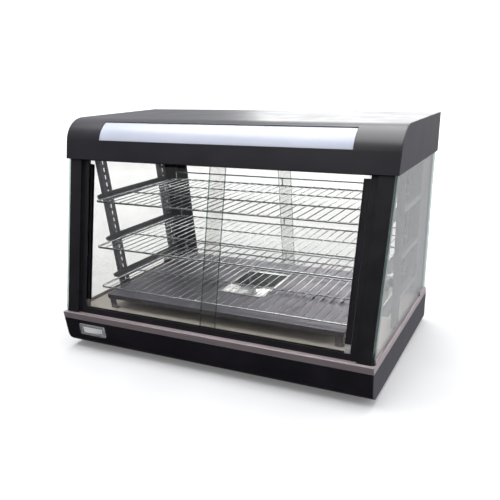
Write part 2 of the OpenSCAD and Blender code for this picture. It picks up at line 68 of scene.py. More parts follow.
def flat_strip(name, x0, x1, first, last):
    """Adds a plane from one (depth, height) line to another; its front is to the left of the run."""
    bpy.ops.object.select_all(action="DESELECT")
    a, b = case((x0 + x1) / 2, *first), case((x0 + x1) / 2, *last)
    run = b - a
    bpy.ops.mesh.primitive_plane_add(size=1, location=(a + b) / 2,
                                     rotation=(math.atan2(run.z, run.y), 0, 0))
    piece = bpy.context.object
    piece.name = piece.data.name = name
    piece.scale = ((x1 - x0) / 1000, run.length, 1)
    bpy.ops.object.transform_apply(location=True, rotation=True, scale=True)
    return piece


def block(name, low, high, turn=None):
    """Adds a cube with its corners at two points in metres, turned about X where it leans."""
    bpy.ops.object.select_all(action="DESELECT")
    low, high = Vector(low), Vector(high)
    bpy.ops.mesh.primitive_cube_add(size=1, location=(low + high) / 2)
    piece = bpy.context.object
    piece.name = piece.data.name = name
    piece.scale = high - low
    bpy.ops.object.transform_apply(location=True, rotation=True, scale=True)
    if turn:
        piece.data.transform(turn)
    return piece


def pick(piece, kind, chosen):
    """Opens edit mode with the points, edges or faces selected whose middle passes the test."""
    if piece.mode != "EDIT":
        bpy.ops.object.mode_set(mode="EDIT")
    bpy.ops.mesh.select_mode(type=kind)
    bpy.ops.mesh.select_all(action="DESELECT")
    bpy.ops.object.mode_set(mode="OBJECT")
    mesh = piece.data
    for item in {"VERT": mesh.vertices, "EDGE": mesh.edges, "FACE": mesh.polygons}[kind]:
        if kind == "VERT":
            middle = item.co
        elif kind == "EDGE":
            middle = sum((mesh.vertices[i].co for i in item.vertices), Vector()) / 2
        else:
            middle = item.center
        point = Vector((middle.x * 1000, (middle.y - FRONT) * 1000, middle.z * 1000))
        item.select = bool(chosen(point, item))
    bpy.ops.object.mode_set(mode="EDIT")


def roll(angle, centre, steps):
    """Spins the selected edge about a (depth, height) line across the case."""
    bpy.ops.mesh.spin(steps=steps, angle=math.radians(angle), center=case(0, *centre),
                      axis=(1, 0, 0))


def run_on(depth, height):
    """Extrudes the selected edge by millimetres of depth and height."""
    bpy.ops.mesh.extrude_region_move(
        TRANSFORM_OT_translate={"value": (0, depth / 1000, height / 1000)})


def score(piece, planes):
    """Cuts edges across all of the sheet, each where a plane given by a point and normal meets it."""
    for point, normal in planes:
        bpy.ops.mesh.select_all(action="SELECT")
        bpy.ops.mesh.bisect(plane_co=point, plane_no=normal)


def modify(piece, kind, **settings):
    """Adds a modifier and applies it."""
    if bpy.context.object.mode != "OBJECT":
        bpy.ops.object.mode_set(mode="OBJECT")
    bpy.ops.object.select_all(action="DESELECT")
    piece.select_set(True)
    bpy.context.view_layer.objects.active = piece
    changed = piece.modifiers.new(kind.lower(), kind)
    for key, value in settings.items():
        setattr(changed, key, value)
    bpy.ops.object.modifier_apply(modifier=changed.name)


def ease(piece, width, segments=2, angle=32):
    """Rounds the sharp edges by so many millimetres; shades curves smooth and keeps flats flat."""
    modify(piece, "BEVEL", width=width / 1000, segments=segments, limit_method="ANGLE",
           angle_limit=math.radians(angle), loop_slide=False)
    bpy.ops.object.shade_smooth_by_angle(angle=math.radians(angle + 8))
    modify(piece, "WEIGHTED_NORMAL", keep_sharp=True)


def fit(piece, body, slot, finish, *nodes):
    """Gives a piece its finish, its body and the CAD nodes that it stands for."""
    if not piece.data.materials:
        piece.data.materials.append(finish)
    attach(piece, body)
    if nodes:
        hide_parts(*nodes)
    return piece


def eased(node, width, slot, finish, segments=2):
    """The CAD node as one merged mesh with its edges rounded, shown in the node's place."""
    cad = frame["nodes"][node]
    if bpy.context.object and bpy.context.object.mode != "OBJECT":
        bpy.ops.object.mode_set(mode="OBJECT")
    bpy.ops.object.select_all(action="DESELECT")
    piece = bpy.data.objects.new(node + "_finished", cad.data.copy())
    bpy.context.scene.collection.objects.link(piece)
    piece.select_set(True)
    bpy.context.view_layer.objects.active = piece
    piece.data.materials.clear()
    if piece.data.has_custom_normals:
        bpy.ops.mesh.customdata_custom_splitnormals_clear()
    bpy.ops.object.mode_set(mode="EDIT")
    bpy.ops.mesh.select_all(action="SELECT")
    bpy.ops.mesh.remove_doubles(threshold=0.000004)
    bpy.ops.object.mode_set(mode="OBJECT")
    for face in piece.data.polygons:
        face.material_index = 0
    ease(piece, width, segments)
    return fit(piece, cad["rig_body"], slot, finish, node)


def linear(code):
    """An sRGB hex colour as linear RGBA."""
    parts = [int(code[i:i + 2], 16) / 255 for i in (1, 3, 5)]
    return [p / 12.92 if p <= 0.04045 else ((p + 0.055) / 1.055) ** 2.4 for p in parts] + [1.0]


def new_finish(name, **settings):
    """A material with its Principled shader, whose sockets are set by name."""
    finish = bpy.data.materials.new(name)
    finish.use_nodes = True
    shader = finish.node_tree.nodes["Principled BSDF"]
    for socket, value in settings.items():
        shader.inputs[socket.replace("_", " ")].default_value = value
    return finish, shader


def add(finish, kind, inputs=(), **settings):
    """Adds a node: settings are its properties, and inputs are its sockets' values or links."""
    made = finish.node_tree.nodes.new(kind)
    for key, value in settings.items():
        setattr(made, key, value)
    for socket, value in dict(inputs).items():
        if isinstance(value, bpy.types.NodeSocket):
            finish.node_tree.links.new(value, made.inputs[socket])
        else:
            made.inputs[socket].default_value = value
    return made


def drive(finish, shader, **sockets):
    """Links node outputs to the shader's sockets."""
    for socket, output in sockets.items():
        finish.node_tree.links.new(output, shader.inputs[socket.replace("_", " ")])


def show(finish, output):
    """Sends a shader's output to the material's surface."""
    surface = finish.node_tree.nodes["Material Output"].inputs["Surface"]
    finish.node_tree.links.new(output, surface)


def shades(finish, factor, stops):
    """A colour ramp from (place, hex colour) stops."""
    ramp = add(finish, "ShaderNodeValToRGB", {"Fac": factor})
    steps = ramp.color_ramp.elements
    for i, (place, code) in enumerate(stops):
        step = steps[i] if i < 2 else steps.new(place)
        step.position, step.color = place, linear(code)
    return ramp.outputs["Color"]


def powder_coat(name, dark, light, gloss, index=1.5):
    """Polyester powder coat, stoved: an even satin skin with a fine orange peel that breaks up
    highlights. The peel is about 1 mm across and is drawn at 2.5 mm so that it shows."""
    finish, shader = new_finish(name, Metallic=0.0, IOR=index)
    place = add(finish, "ShaderNodeTexCoord").outputs["Object"]
    peel = add(finish, "ShaderNodeTexNoise", {"Vector": place, "Scale": 400, "Detail": 2})
    cloud = add(finish, "ShaderNodeTexNoise", {"Vector": place, "Scale": 14, "Detail": 4})
    fine = add(finish, "ShaderNodeBump", {"Height": peel.outputs["Fac"], "Strength": 0.16,
                                          "Distance": 0.0002})
    rough = add(finish, "ShaderNodeMapRange", {"Value": cloud.outputs["Fac"], "From Min": 0.3,
                                               "From Max": 0.7, "To Min": gloss - 0.04,
                                               "To Max": gloss + 0.05})
    drive(finish, shader, Base_Color=shades(finish, cloud.outputs["Fac"],
                                            [(0.3, dark), (0.7, light)]),
          Roughness=rough.outputs["Result"], Normal=fine.outputs["Normal"])
    return finish


satin_black = powder_coat("satin_black_powder_coat", "#131017", "#19161d", 0.34)
base = flat_strip("base_tray", -448, 448, (523, 12), (28, 12))
pick(base, "EDGE", lambda p, e: abs(p.y - 28) < 0.1)
roll(90, (28, 40), 14)
run_on(0, 48)
score(base, [(case(x, 0, 62), (1, 0, 0)) for x in (-393, -317)]
      + [(case(0, 0, z), (0, 0, 1)) for z in (51, 73)])
pick(base, "FACE", lambda p, f: -393 < p.x < -317 and 51 < p.z < 73 and p.y < 5)
bpy.ops.mesh.delete(type="FACE")
modify(base, "SOLIDIFY", thickness=0.002, offset=-1)
ease(base, 0.5)
fit(base, "cabinet", "black_paint", satin_black, "base_shell")

# ---- Base side sheets and rear panel ----
# Flat laser-cut sheets, welded and stoved in the same powder coat; the side sheets take a copy of
# it whose colour is painted lighter, as painted light for the brighter sides. The rear panel has two
# rows of vent slots and holds the switch, the thermostat and the cable gland.
# Painted lightness: this copy of the black coat is lighter only to stand in for the light that falls
# on the sides.
lit_side_satin = powder_coat("satin_black_coat_painted_lighter", "#2b282f", "#343138", 0.58, 1.35)
for side in ("base_side_left", "base_side_right"):
    eased(side, 0.5, "side_paint", lit_side_satin)
eased("rear_panel", 0.4, "black_paint", satin_black)

# ---- Feet ----
# Four turned feet of moulded nitrile rubber, each on a zinc-plated screw. The rubber is dull
# and a little dusty.
rubber, shader = new_finish("moulded_nitrile_rubber", IOR=1.52, Specular_IOR_Level=0.3)
place = add(rubber, "ShaderNodeTexCoord").outputs["Object"]
dust = add(rubber, "ShaderNodeTexNoise", {"Vector": place, "Scale": 220, "Detail": 5})
drive(rubber, shader,
      Base_Color=shades(rubber, dust.outputs["Fac"], [(0.35, "#151516"), (0.8, "#2d2c2b")]),
      Roughness=add(rubber, "ShaderNodeMapRange", {"Value": dust.outputs["Fac"], "To Min": 0.7,
                                                   "To Max": 0.95}).outputs["Result"],
      Normal=add(rubber, "ShaderNodeBump", {"Height": dust.outputs["Fac"], "Strength": 0.3,
                                            "Distance": 0.0003}).outputs["Normal"])
eased("rubber_feet", 0.8, "rubber", rubber, 3)

# ---- Screws ----
# Zinc-plated steel: bright with a faint blue and yellow passivation that varies over the heads.
zinc, shader = new_finish("zinc_plated_screw_steel", Metallic=1.0)
place = add(zinc, "ShaderNodeTexCoord").outputs["Object"]
passive = add(zinc, "ShaderNodeTexNoise", {"Vector": place, "Scale": 90, "Detail": 3})
drive(zinc, shader,
      Base_Color=shades(zinc, passive.outputs["Fac"],
                        [(0.3, "#a9b0b8"), (0.55, "#b9b7ad"), (0.8, "#c5bc9a")]),
      Roughness=add(zinc, "ShaderNodeMapRange", {"Value": passive.outputs["Fac"],
                                                 "To Min": 0.25, "To Max": 0.45}).outputs["Result"])
eased("screws", 0.2, "screw_zinc", zinc)


# ---- Sill and side trims ----
# Stainless steel strip, 1.2 mm, brushed along its length and folded over the top of the base. It
# carries the front posts and the side glasses; a warm grey, with lines that stretch highlights.
def brushed(name, stretch, stops, low, high, depth=0.12, metal=1.0):
    """Stainless steel brushed with a 180 grit belt. The scratches are 0.1 mm apart and are drawn
    at about 1 mm; stretch gives, for each axis, how many of them there are per metre."""
    finish, shader = new_finish(name, Metallic=metal)
    place = add(finish, "ShaderNodeTexCoord").outputs["Object"]
    along = add(finish, "ShaderNodeMapping", {"Vector": place, "Scale": stretch})
    line = add(finish, "ShaderNodeTexNoise", {"Vector": along.outputs["Vector"], "Scale": 1,
                                              "Detail": 4, "Roughness": 0.6})
    smear = add(finish, "ShaderNodeTexNoise", {"Vector": place, "Scale": 9, "Detail": 3})
    both = add(finish, "ShaderNodeMath", {0: line.outputs["Fac"], 1: smear.outputs["Fac"]},
               operation="ADD")
    rough = add(finish, "ShaderNodeMapRange", {"Value": both.outputs["Value"], "From Min": 0.6,
                                               "From Max": 1.4, "To Min": low, "To Max": high})
    grain = add(finish, "ShaderNodeBump", {"Height": line.outputs["Fac"], "Strength": depth,
                                           "Distance": 0.0003})
    drive(finish, shader, Base_Color=shades(finish, line.outputs["Fac"], stops),
          Roughness=rough.outputs["Result"], Normal=grain.outputs["Normal"])
    return finish


sill_steel = brushed("brushed_stainless_sill", (12, 900, 900),
                     [(0.3, "#8a8083"), (0.7, "#a3979a")], 0.34, 0.48, 0.12, 0.6)
eased("sill_front", 0.5, "sill_steel", sill_steel, 3)
trim_steel = brushed("brushed_stainless_trim", (900, 12, 900),
                     [(0.3, "#8a8083"), (0.7, "#a3979a")], 0.34, 0.48, 0.12, 0.6)
for side in ("side_trim_left", "side_trim_right"):
    eased(side, 0.4, "sill_steel", trim_steel, 3)
eased("glass_clips", 0.25, "sill_steel", trim_steel)

# ---- Cabinet floor ----
# Annealed stainless sheet with a pale satin skin whose warm tan tone is painted in, standing in for
# a warm reflection. Its front edge rolls down behind the door track.
# Painted reflection: the warm tan colour stops stand in for the warm light that the strip reflects.
floor_steel = brushed("bright_annealed_floor_steel_painted_warm", (10, 260, 260),
                      [(0.3, "#dcd3c7"), (0.7, "#ebe3da")], 0.36, 0.48, 0.08, 0.25)
eased("floor_pan", 0.3, "floor_steel", floor_steel)

# ---- Heat deck ----
# A darker rolled stainless tray turned upside down over the heaters. Its edge is folded down, and
# beside the hole for the water pan it is pierced by rows of louvres with raised lips.
deck_steel = brushed("rolled_stainless_deck", (300, 14, 300),
                     [(0.3, "#85818a"), (0.7, "#9f9ba4")], 0.34, 0.50, 0.12, 0.8)
LOUVRES = [hand * (115 + 28 * number) for hand in (-1, 1) for number in range(7)]
PAN_HOLE = 67, (203.5, 374.5)     # half its width, and its front and rear
SLOT = 3.5, (224, 306)            # the same for a louvre's slot
deck = flat_strip("deck_sheet", -352, 352, (76, 142), (478, 142))
bpy.ops.object.mode_set(mode="EDIT")
score(deck, [(case(x, 0, 142), (1, 0, 0))
             for x in [-PAN_HOLE[0], PAN_HOLE[0]]
             + [mid + half for mid in LOUVRES for half in (-SLOT[0], SLOT[0])]]
      + [(case(0, y, 142), (0, 1, 0)) for y in PAN_HOLE[1] + SLOT[1]])
pick(deck, "FACE", lambda p, f: abs(p.x) < PAN_HOLE[0] and PAN_HOLE[1][0] < p.y < PAN_HOLE[1][1]
     or min(abs(p.x - mid) for mid in LOUVRES) < SLOT[0] and SLOT[1][0] < p.y < SLOT[1][1])
bpy.ops.mesh.delete(type="FACE")
pick(deck, "EDGE", lambda p, e: abs(p.x) > 351.9 or p.y < 76.1 or p.y > 477.9)
run_on(0, -13)
modify(deck, "SOLIDIFY", thickness=0.0015, offset=-1)
ease(deck, 0.5, 3)
fit(deck, "cabinet", "deck_steel", deck_steel, "heat_deck")
lip = flat_strip("louvre_lip", -3.4, 3.4, (225, 142.2), (305, 142.2))
bpy.ops.object.mode_set(mode="EDIT")
bpy.ops.mesh.select_all(action="SELECT")
bpy.ops.mesh.subdivide(number_cuts=9)
pick(lip, "VERT", lambda p, v: p.x > 3.3 and 232 < p.y < 298)
bpy.ops.transform.translate(value=(0, 0, 0.0022))
pick(lip, "VERT", lambda p, v: 1 < p.x < 3 and 232 < p.y < 298)
bpy.ops.transform.translate(value=(0, 0, 0.0012))
modify(lip, "SOLIDIFY", thickness=0.0006, offset=0)
bpy.ops.object.shade_smooth_by_angle(angle=math.radians(40))


def repeated(model, places):
    """Copies of a piece, each with its own mesh, moved so many millimetres along X."""
    copies = []
    for x in places:
        copy = bpy.data.objects.new(model.name, model.data.copy())
        copy.data.transform(Matrix.Translation((x / 1000, 0, 0)))
        bpy.context.scene.collection.objects.link(copy)
        copies.append(copy)
    bpy.data.objects.remove(model)
    return copies


def joined(parts, name):
    """Makes one piece of several."""
    bpy.ops.object.select_all(action="DESELECT")
    for part in parts:
        part.select_set(True)
    bpy.context.view_layer.objects.active = parts[0]
    bpy.ops.object.join()
    piece = bpy.context.object
    piece.name = piece.data.name = name
    return piece


fit(joined(repeated(lip, LOUVRES), "deck_louvres"), "cabinet", "deck_steel", deck_steel)
eased("deck_legs", 0.4, "deck_steel", deck_steel)

# ---- Water pan ----
# A pressed stainless basin dropped into the deck. Its bottom is pressed in four shallow facets
# that meet in an X, to stiffen it, and they mirror the light differently.
pan_steel = brushed("pressed_bright_pan_steel", (60, 60, 60),
                    [(0.3, "#c4c4c4"), (0.7, "#dedede")], 0.10, 0.18, 0.04)
pan = block("water_basin", case(-65.4, 205.1, 117), case(65.4, 372.9, 142.6))
pick(pan, "FACE", lambda p, f: p.z > 142)
bpy.ops.mesh.delete(type="FACE")
pick(pan, "EDGE", lambda p, e: abs(p.x) > 60 and (p.y < 210 or p.y > 370) and 120 < p.z < 140)
bpy.ops.mesh.bevel(offset=0.008, segments=5)
pick(pan, "EDGE", lambda p, e: p.z > 142)
bpy.ops.mesh.extrude_region_move()
bpy.ops.transform.resize(value=(1.116, 1.09, 1), center_override=case(0, 289, 142.6))
pick(pan, "FACE", lambda p, f: p.z < 117.5)
bpy.ops.mesh.inset(thickness=0.004)
bpy.ops.mesh.inset(thickness=0.012)
bpy.ops.mesh.poke(offset=0.0)
pick(pan, "VERT", lambda p, v: p.z < 117.5 and abs(p.x) < 2 and abs(p.y - 289) < 2)
bpy.ops.transform.translate(value=(0, 0, 0.006))
modify(pan, "SOLIDIFY", thickness=0.0009, offset=-1)
ease(pan, 0.3, 2, 50)
fit(pan, "cabinet", "pan_steel", pan_steel, "water_pan")

# ---- Heaters ----
# Two hairpin elements: a steel sheath over packed magnesium oxide, oxidised brown and blue
# where it runs hot. They stand in glazed steatite blocks.
sheath, shader = new_finish("oxidised_heater_sheath", Metallic=0.9)
place = add(sheath, "ShaderNodeTexCoord").outputs["Object"]
heat = add(sheath, "ShaderNodeTexNoise", {"Vector": place, "Scale": 30, "Detail": 4})
drive(sheath, shader,
      Base_Color=shades(sheath, heat.outputs["Fac"],
                        [(0.3, "#5c4334"), (0.55, "#7a5f4c"), (0.75, "#4d4a58")]),
      Roughness=add(sheath, "ShaderNodeMapRange", {"Value": heat.outputs["Fac"], "To Min": 0.45,
                                                   "To Max": 0.7}).outputs["Result"])
steatite, shader = new_finish("glazed_steatite", IOR=1.5)
place = add(steatite, "ShaderNodeTexCoord").outputs["Object"]
speck = add(steatite, "ShaderNodeTexNoise", {"Vector": place, "Scale": 350, "Detail": 3})
drive(steatite, shader,
      Base_Color=shades(steatite, speck.outputs["Fac"], [(0.3, "#d3ccbb"), (0.6, "#e9e5d9")]),
      Roughness=add(steatite, "ShaderNodeMapRange", {"Value": speck.outputs["Fac"],
                                                     "To Min": 0.25, "To Max": 0.5}).outputs["Result"])
eased("heaters", 0.1, "heater_sheath", sheath)
eased("heater_mounts", 0.6, "ceramic", steatite)


# ---- Door tracks and channels ----
# Aluminium extrusions with two open grooves each, bead blasted and anodised black. Fine die
# lines run along them.
def extruded(name, stretch, lean, dark="#131116", light="#1b181f"):
    """Black anodised extrusion. The die lines are about 0.3 mm apart and are drawn at 1 mm."""
    finish, shader = new_finish(name, Metallic=0.35, IOR=1.6)
    place = add(finish, "ShaderNodeTexCoord").outputs["Object"]
    along = add(finish, "ShaderNodeMapping",
                {"Vector": place, "Rotation": (math.radians(lean), 0, 0), "Scale": stretch})
    line = add(finish, "ShaderNodeTexNoise", {"Vector": along.outputs["Vector"], "Scale": 1,
                                              "Detail": 3})
    rub = add(finish, "ShaderNodeTexNoise", {"Vector": place, "Scale": 25, "Detail": 5})
    rough = add(finish, "ShaderNodeMapRange", {"Value": rub.outputs["Fac"], "From Min": 0.3,
                                               "From Max": 0.7, "To Min": 0.30, "To Max": 0.42})
    grain = add(finish, "ShaderNodeBump", {"Height": line.outputs["Fac"], "Strength": 0.12,
                                           "Distance": 0.0002})
    drive(finish, shader,
          Base_Color=shades(finish, rub.outputs["Fac"], [(0.3, dark), (0.7, light)]),
          Roughness=rough.outputs["Result"], Normal=grain.outputs["Normal"])
    return finish


cross_extrusion = extruded("black_anodised_track", (8, 900, 900), 0)
for part in ("front_track", "rear_track", "front_channel", "rear_channel"):
    eased(part, 0.35, "black_aluminium", cross_extrusion)

# ---- Posts ----
# Stepped aluminium extrusions, anodised black: a wide outer leaf and a set-back inner leaf that
# stops the doors. The front pair leans with the glass.
LEAN = 18.5
leaning_extrusion = extruded("black_anodised_front_post", (900, 900, 8), LEAN)
upright_extrusion = extruded("black_anodised_rear_post", (900, 900, 8), 0, "#14131c", "#1d1c28")
for side in ("left", "right"):
    eased("front_post_" + side, 0.6, "black_aluminium", leaning_extrusion, 3)
    eased("rear_post_" + side, 0.6, "black_aluminium", upright_extrusion, 3)


# ---- Shelf standards and arms ----
# Rolled steel uprights with a row of slots, and pressed arms that hook into them. They are
# painted a plain mid grey, which is duller than the wires.
def grey_coat(name, dark, light):
    """Air-dried grey enamel over zinc: a soft sheen with the spangle just showing through."""
    finish, shader = new_finish(name, Metallic=0.25, IOR=1.5)
    place = add(finish, "ShaderNodeTexCoord").outputs["Object"]
    spangle = add(finish, "ShaderNodeTexVoronoi", {"Vector": place, "Scale": 130})
    cloud = add(finish, "ShaderNodeTexNoise", {"Vector": place, "Scale": 40, "Detail": 5})
    mixed = add(finish, "ShaderNodeMath", {0: spangle.outputs["Distance"],
                                           1: cloud.outputs["Fac"]}, operation="ADD")
    rough = add(finish, "ShaderNodeMapRange", {"Value": cloud.outputs["Fac"], "To Min": 0.4,
                                               "To Max": 0.6})
    dents = add(finish, "ShaderNodeBump", {"Height": cloud.outputs["Fac"], "Strength": 0.1,
                                           "Distance": 0.0004})
    drive(finish, shader,
          Base_Color=shades(finish, mixed.outputs["Value"], [(0.4, dark), (1.0, light)]),
          Roughness=rough.outputs["Result"], Normal=dents.outputs["Normal"])
    return finish


standard_grey = grey_coat("grey_enamelled_steel", "#67666b", "#7d7c81")
for part in ("front_standards", "rear_standards"):
    eased(part, 0.3, "grey_paint", standard_grey)
arm_grey = grey_coat("grey_enamelled_arm_steel", "#605f64", "#76757a")
for side in ("left", "right"):
    eased("shelf_arms_" + side, 0.4, "grey_paint", arm_grey)

# ---- Wire shelves ----
# Drawn steel wire, resistance welded and then nickel-chrome plated: a 5 mm frame with rounded
# corners, two 4 mm cross wires under 29 thin ones, and a raised rear rail on three stubs.
FRAME_WIRE, CROSS_WIRE, THIN_WIRE, PITCH = 5, 4, 2.4, 26
chrome, shader = new_finish("nickel_chrome_plated_wire", Metallic=1.0)
place = add(chrome, "ShaderNodeTexCoord").outputs["Object"]
bath = add(chrome, "ShaderNodeTexNoise", {"Vector": place, "Scale": 60, "Detail": 4})
drive(chrome, shader,
      Base_Color=shades(chrome, bath.outputs["Fac"], [(0.3, "#bdc2c5"), (0.7, "#e6e9ea")]),
      Roughness=add(chrome, "ShaderNodeMapRange", {"Value": bath.outputs["Fac"], "From Min": 0.3,
                                                   "From Max": 0.7, "To Min": 0.16,
                                                   "To Max": 0.28}).outputs["Result"])


def rod(start, end, thick, sides=12):
    """A drawn wire between two points in case millimetres, with its cut ends rounded off."""
    bpy.ops.object.select_all(action="DESELECT")
    a, b = case(*start), case(*end)
    run = b - a
    bpy.ops.mesh.primitive_cylinder_add(
        vertices=sides, radius=thick / 2000, depth=run.length, location=(a + b) / 2,
        rotation=run.to_track_quat("Z", "Y").to_euler())
    bpy.ops.object.transform_apply(location=True, rotation=True, scale=True)
    wire = bpy.context.object
    pick(wire, "FACE", lambda p, f: len(f.vertices) > 4)
    bpy.ops.mesh.bevel(offset=thick / 7000, segments=2)
    bpy.ops.object.mode_set(mode="OBJECT")
    return wire


def wire_shelf(node, body, top, front):
    """A shelf with its thin wires' tops at a height and its front at a depth."""
    centre, half, back = top - 4.2, 397.3, 497.5
    first = front + FRAME_WIRE / 2
    frame_wire = flat_strip(node + "_wires", -half, half, (first, centre), (back, centre))
    pick(frame_wire, "VERT", lambda p, v: True)
    bpy.ops.mesh.bevel(offset=0.014, segments=6, affect="VERTICES")
    bpy.ops.mesh.delete(type="ONLY_FACE")
    bpy.ops.object.mode_set(mode="OBJECT")
    bpy.ops.object.convert(target="CURVE")
    frame_wire.data.bevel_depth = FRAME_WIRE / 2000
    frame_wire.data.bevel_resolution = 4
    bpy.ops.object.convert(target="MESH")
    parts = [bpy.context.object]
    for share in (0.38, 0.7):
        depth = first + share * (back - first)
        parts.append(rod((-half, depth, centre), (half, depth, centre), CROSS_WIRE))
    rail, rail_end = centre + 22, half - 14
    parts.append(rod((-rail_end, back, rail), (rail_end, back, rail), CROSS_WIRE))
    for x in (-rail_end, 0, rail_end):
        stub_top = rail + (0.3 if x == 0 else 1.2)
        parts.append(rod((x, back, centre), (x, back, stub_top), CROSS_WIRE))
    thin = rod((0, first, top - THIN_WIRE / 2), (0, back, top - THIN_WIRE / 2), THIN_WIRE, 8)
    parts += repeated(thin, [PITCH * number for number in range(-14, 15)])
    shelf = joined(parts, node + "_wires")
    bpy.ops.object.shade_smooth_by_angle(angle=math.radians(50))
    shelf.data.materials.clear()
    return fit(shelf, body, "chrome_wire", chrome, node)


wire_shelf("top_shelf", "top_shelf_body", 383, 145)
wire_shelf("middle_shelf", "middle_shelf_body", 264, 115)
wire_shelf("bottom_shelf", "bottom_shelf_body", 153, 100)


# ---- Glass ----
# Toughened float glass, 5 mm at the front and sides and 4 mm at the rear. Its faces are clear and
# slightly grey, and its ground and polished edges look dark green. Finger marks dull it.
def float_glass(name, tint, haze):
    """Thin clear sheet: tinted light goes straight through, and a mirror share that grows towards
    grazing angles goes to a white gloss. Finger marks add up to haze to that share."""
    finish, shader = new_finish(name, Metallic=1.0, Base_Color=(1, 1, 1, 1))
    place = add(finish, "ShaderNodeTexCoord").outputs["Object"]
    marks = add(finish, "ShaderNodeTexNoise", {"Vector": place, "Scale": 22, "Detail": 6})
    rough = add(finish, "ShaderNodeMapRange", {"Value": marks.outputs["Fac"], "From Min": 0.35,
                                               "From Max": 0.75, "To Min": 0.0, "To Max": 0.08})
    film = add(finish, "ShaderNodeMapRange", {"Value": marks.outputs["Fac"], "From Min": 0.4,
                                              "From Max": 0.8, "To Min": 0.0, "To Max": haze})
    facing = add(finish, "ShaderNodeLayerWeight", {"Blend": 0.5})
    steep = add(finish, "ShaderNodeMath", {0: facing.outputs["Facing"], 1: 5.0},
                operation="POWER")
    mirror = add(finish, "ShaderNodeMath", {0: steep.outputs["Value"], 1: 0.9, 2: 0.04},
                 operation="MULTIPLY_ADD")
    share = add(finish, "ShaderNodeMath", {0: mirror.outputs["Value"], 1: film.outputs["Result"]},
                operation="ADD", use_clamp=True)
    through = add(finish, "ShaderNodeBsdfTransparent", {"Color": linear(tint)})
    both = add(finish, "ShaderNodeMixShader", {0: share.outputs["Value"],
                                               1: through.outputs["BSDF"],
                                               2: shader.outputs["BSDF"]})
    drive(finish, shader, Roughness=rough.outputs["Result"])
    show(finish, both.outputs["Shader"])
    return finish


clear_glass = float_glass("toughened_float_glass", "#f5f5f4", 0.03)
glass_edge, shader = new_finish("polished_glass_edge", IOR=1.5, Metallic=0.0)
place = add(glass_edge, "ShaderNodeTexCoord").outputs["Object"]
grind = add(glass_edge, "ShaderNodeTexNoise", {"Vector": place, "Scale": 300, "Detail": 2})
drive(glass_edge, shader,
      Base_Color=shades(glass_edge, grind.outputs["Fac"], [(0.3, "#22332f"), (0.7, "#466660")]),
      Roughness=add(glass_edge, "ShaderNodeMapRange", {"Value": grind.outputs["Fac"],
                                                       "To Min": 0.1, "To Max": 0.3}
                    ).outputs["Result"])
lit_through = add(glass_edge, "ShaderNodeBsdfTransparent", {"Color": linear("#c8dbd6")})
part_clear = add(glass_edge, "ShaderNodeMixShader", {0: 0.4, 1: lit_through.outputs["BSDF"],
                                                     2: shader.outputs["BSDF"]})
show(glass_edge, part_clear.outputs["Shader"])


def pane(piece, normal, body, node):
    """Grinds the pane's edges, then gives its two faces the clear glass and the rest the edge."""
    modify(piece, "BEVEL", width=0.0007, segments=1, limit_method="ANGLE",
           angle_limit=math.radians(30))
    piece.data.materials.append(clear_glass)
    piece.data.materials.append(glass_edge)
    for face in piece.data.polygons:
        face.material_index = 0 if abs(face.normal.dot(normal)) > 0.99 else 1
    return fit(piece, body, "glass", clear_glass, node)


for side, hand in (("left", -1), ("right", 1)):
    xs = sorted((hand * 441 / 1000, hand * 446 / 1000))
    glass = block("side_pane_" + side, (xs[0], FRONT + 0.012, 0.094), (xs[1], FRONT + 0.519, 0.502))
    bpy.ops.object.mode_set(mode="EDIT")
    score(glass, [(case(0, 0, 114), (0, 0, 1))])
    pick(glass, "VERT", lambda p, v: p.y < 13 and p.z > 500)
    bpy.ops.transform.translate(value=(0, 0.1298, 0))
    bpy.ops.object.mode_set(mode="OBJECT")
    pane(glass, Vector((1, 0, 0)), "cabinet", "side_glass_" + side)

# ---- Front doors ----
# Two leaning panes that slide behind each other in the black track. Each has a black aluminium
# pull strip at its outer edge and moulded nylon glides under its lower corners.
tilt = (Matrix.Translation(case(0, 9, 105)) @ Matrix.Rotation(math.radians(-LEAN), 4, "X"))
door_normal = Vector((0, math.cos(math.radians(LEAN)), -math.sin(math.radians(LEAN))))
for side, hand, edge, set_back in (("left", -1, 0.4005, 26), ("right", 1, 0.3825, 15)):
    xs = sorted((hand * edge, -hand * 0.019))
    glass = block("front_pane_" + side, (xs[0], (set_back - 2.5) / 1000, -0.008),
                  (xs[1], (set_back + 2.5) / 1000, 0.418), tilt)
    pane(glass, door_normal, "front_door_" + side, "front_door_glass_" + side)
    eased("front_door_handle_" + side, 0.6, "black_aluminium", leaning_extrusion, 3)
nylon, shader = new_finish("moulded_grey_nylon", IOR=1.53, Subsurface_Weight=0.1)
place = add(nylon, "ShaderNodeTexCoord").outputs["Object"]
flow = add(nylon, "ShaderNodeTexNoise", {"Vector": place, "Scale": 180, "Detail": 3})
drive(nylon, shader,
      Base_Color=shades(nylon, flow.outputs["Fac"], [(0.3, "#8d8b89"), (0.7, "#a5a3a0")]),
      Roughness=add(nylon, "ShaderNodeMapRange", {"Value": flow.outputs["Fac"], "To Min": 0.35,
                                                  "To Max": 0.6}).outputs["Result"])
for side in ("left", "right"):
    eased("front_door_glides_" + side, 0.4, "nylon", nylon)

# ---- Rear doors ----
# The same, upright, in 4 mm glass with wider pull strips that reach from the rear track to the
# channel.
for side, hand, set_back in (("left", -1, 518.2), ("right", 1, 509.6)):
    xs = sorted((hand * 0.3825, -hand * 0.019))
    glass = block("rear_pane_" + side, (xs[0], FRONT + (set_back - 2) / 1000, 0.1045),
                  (xs[1], FRONT + (set_back + 2) / 1000, 0.4965))
    pane(glass, Vector((0, 1, 0)), "rear_door_" + side, "rear_door_glass_" + side)
    eased("rear_door_handle_" + side, 0.6, "black_aluminium", upright_extrusion, 3)

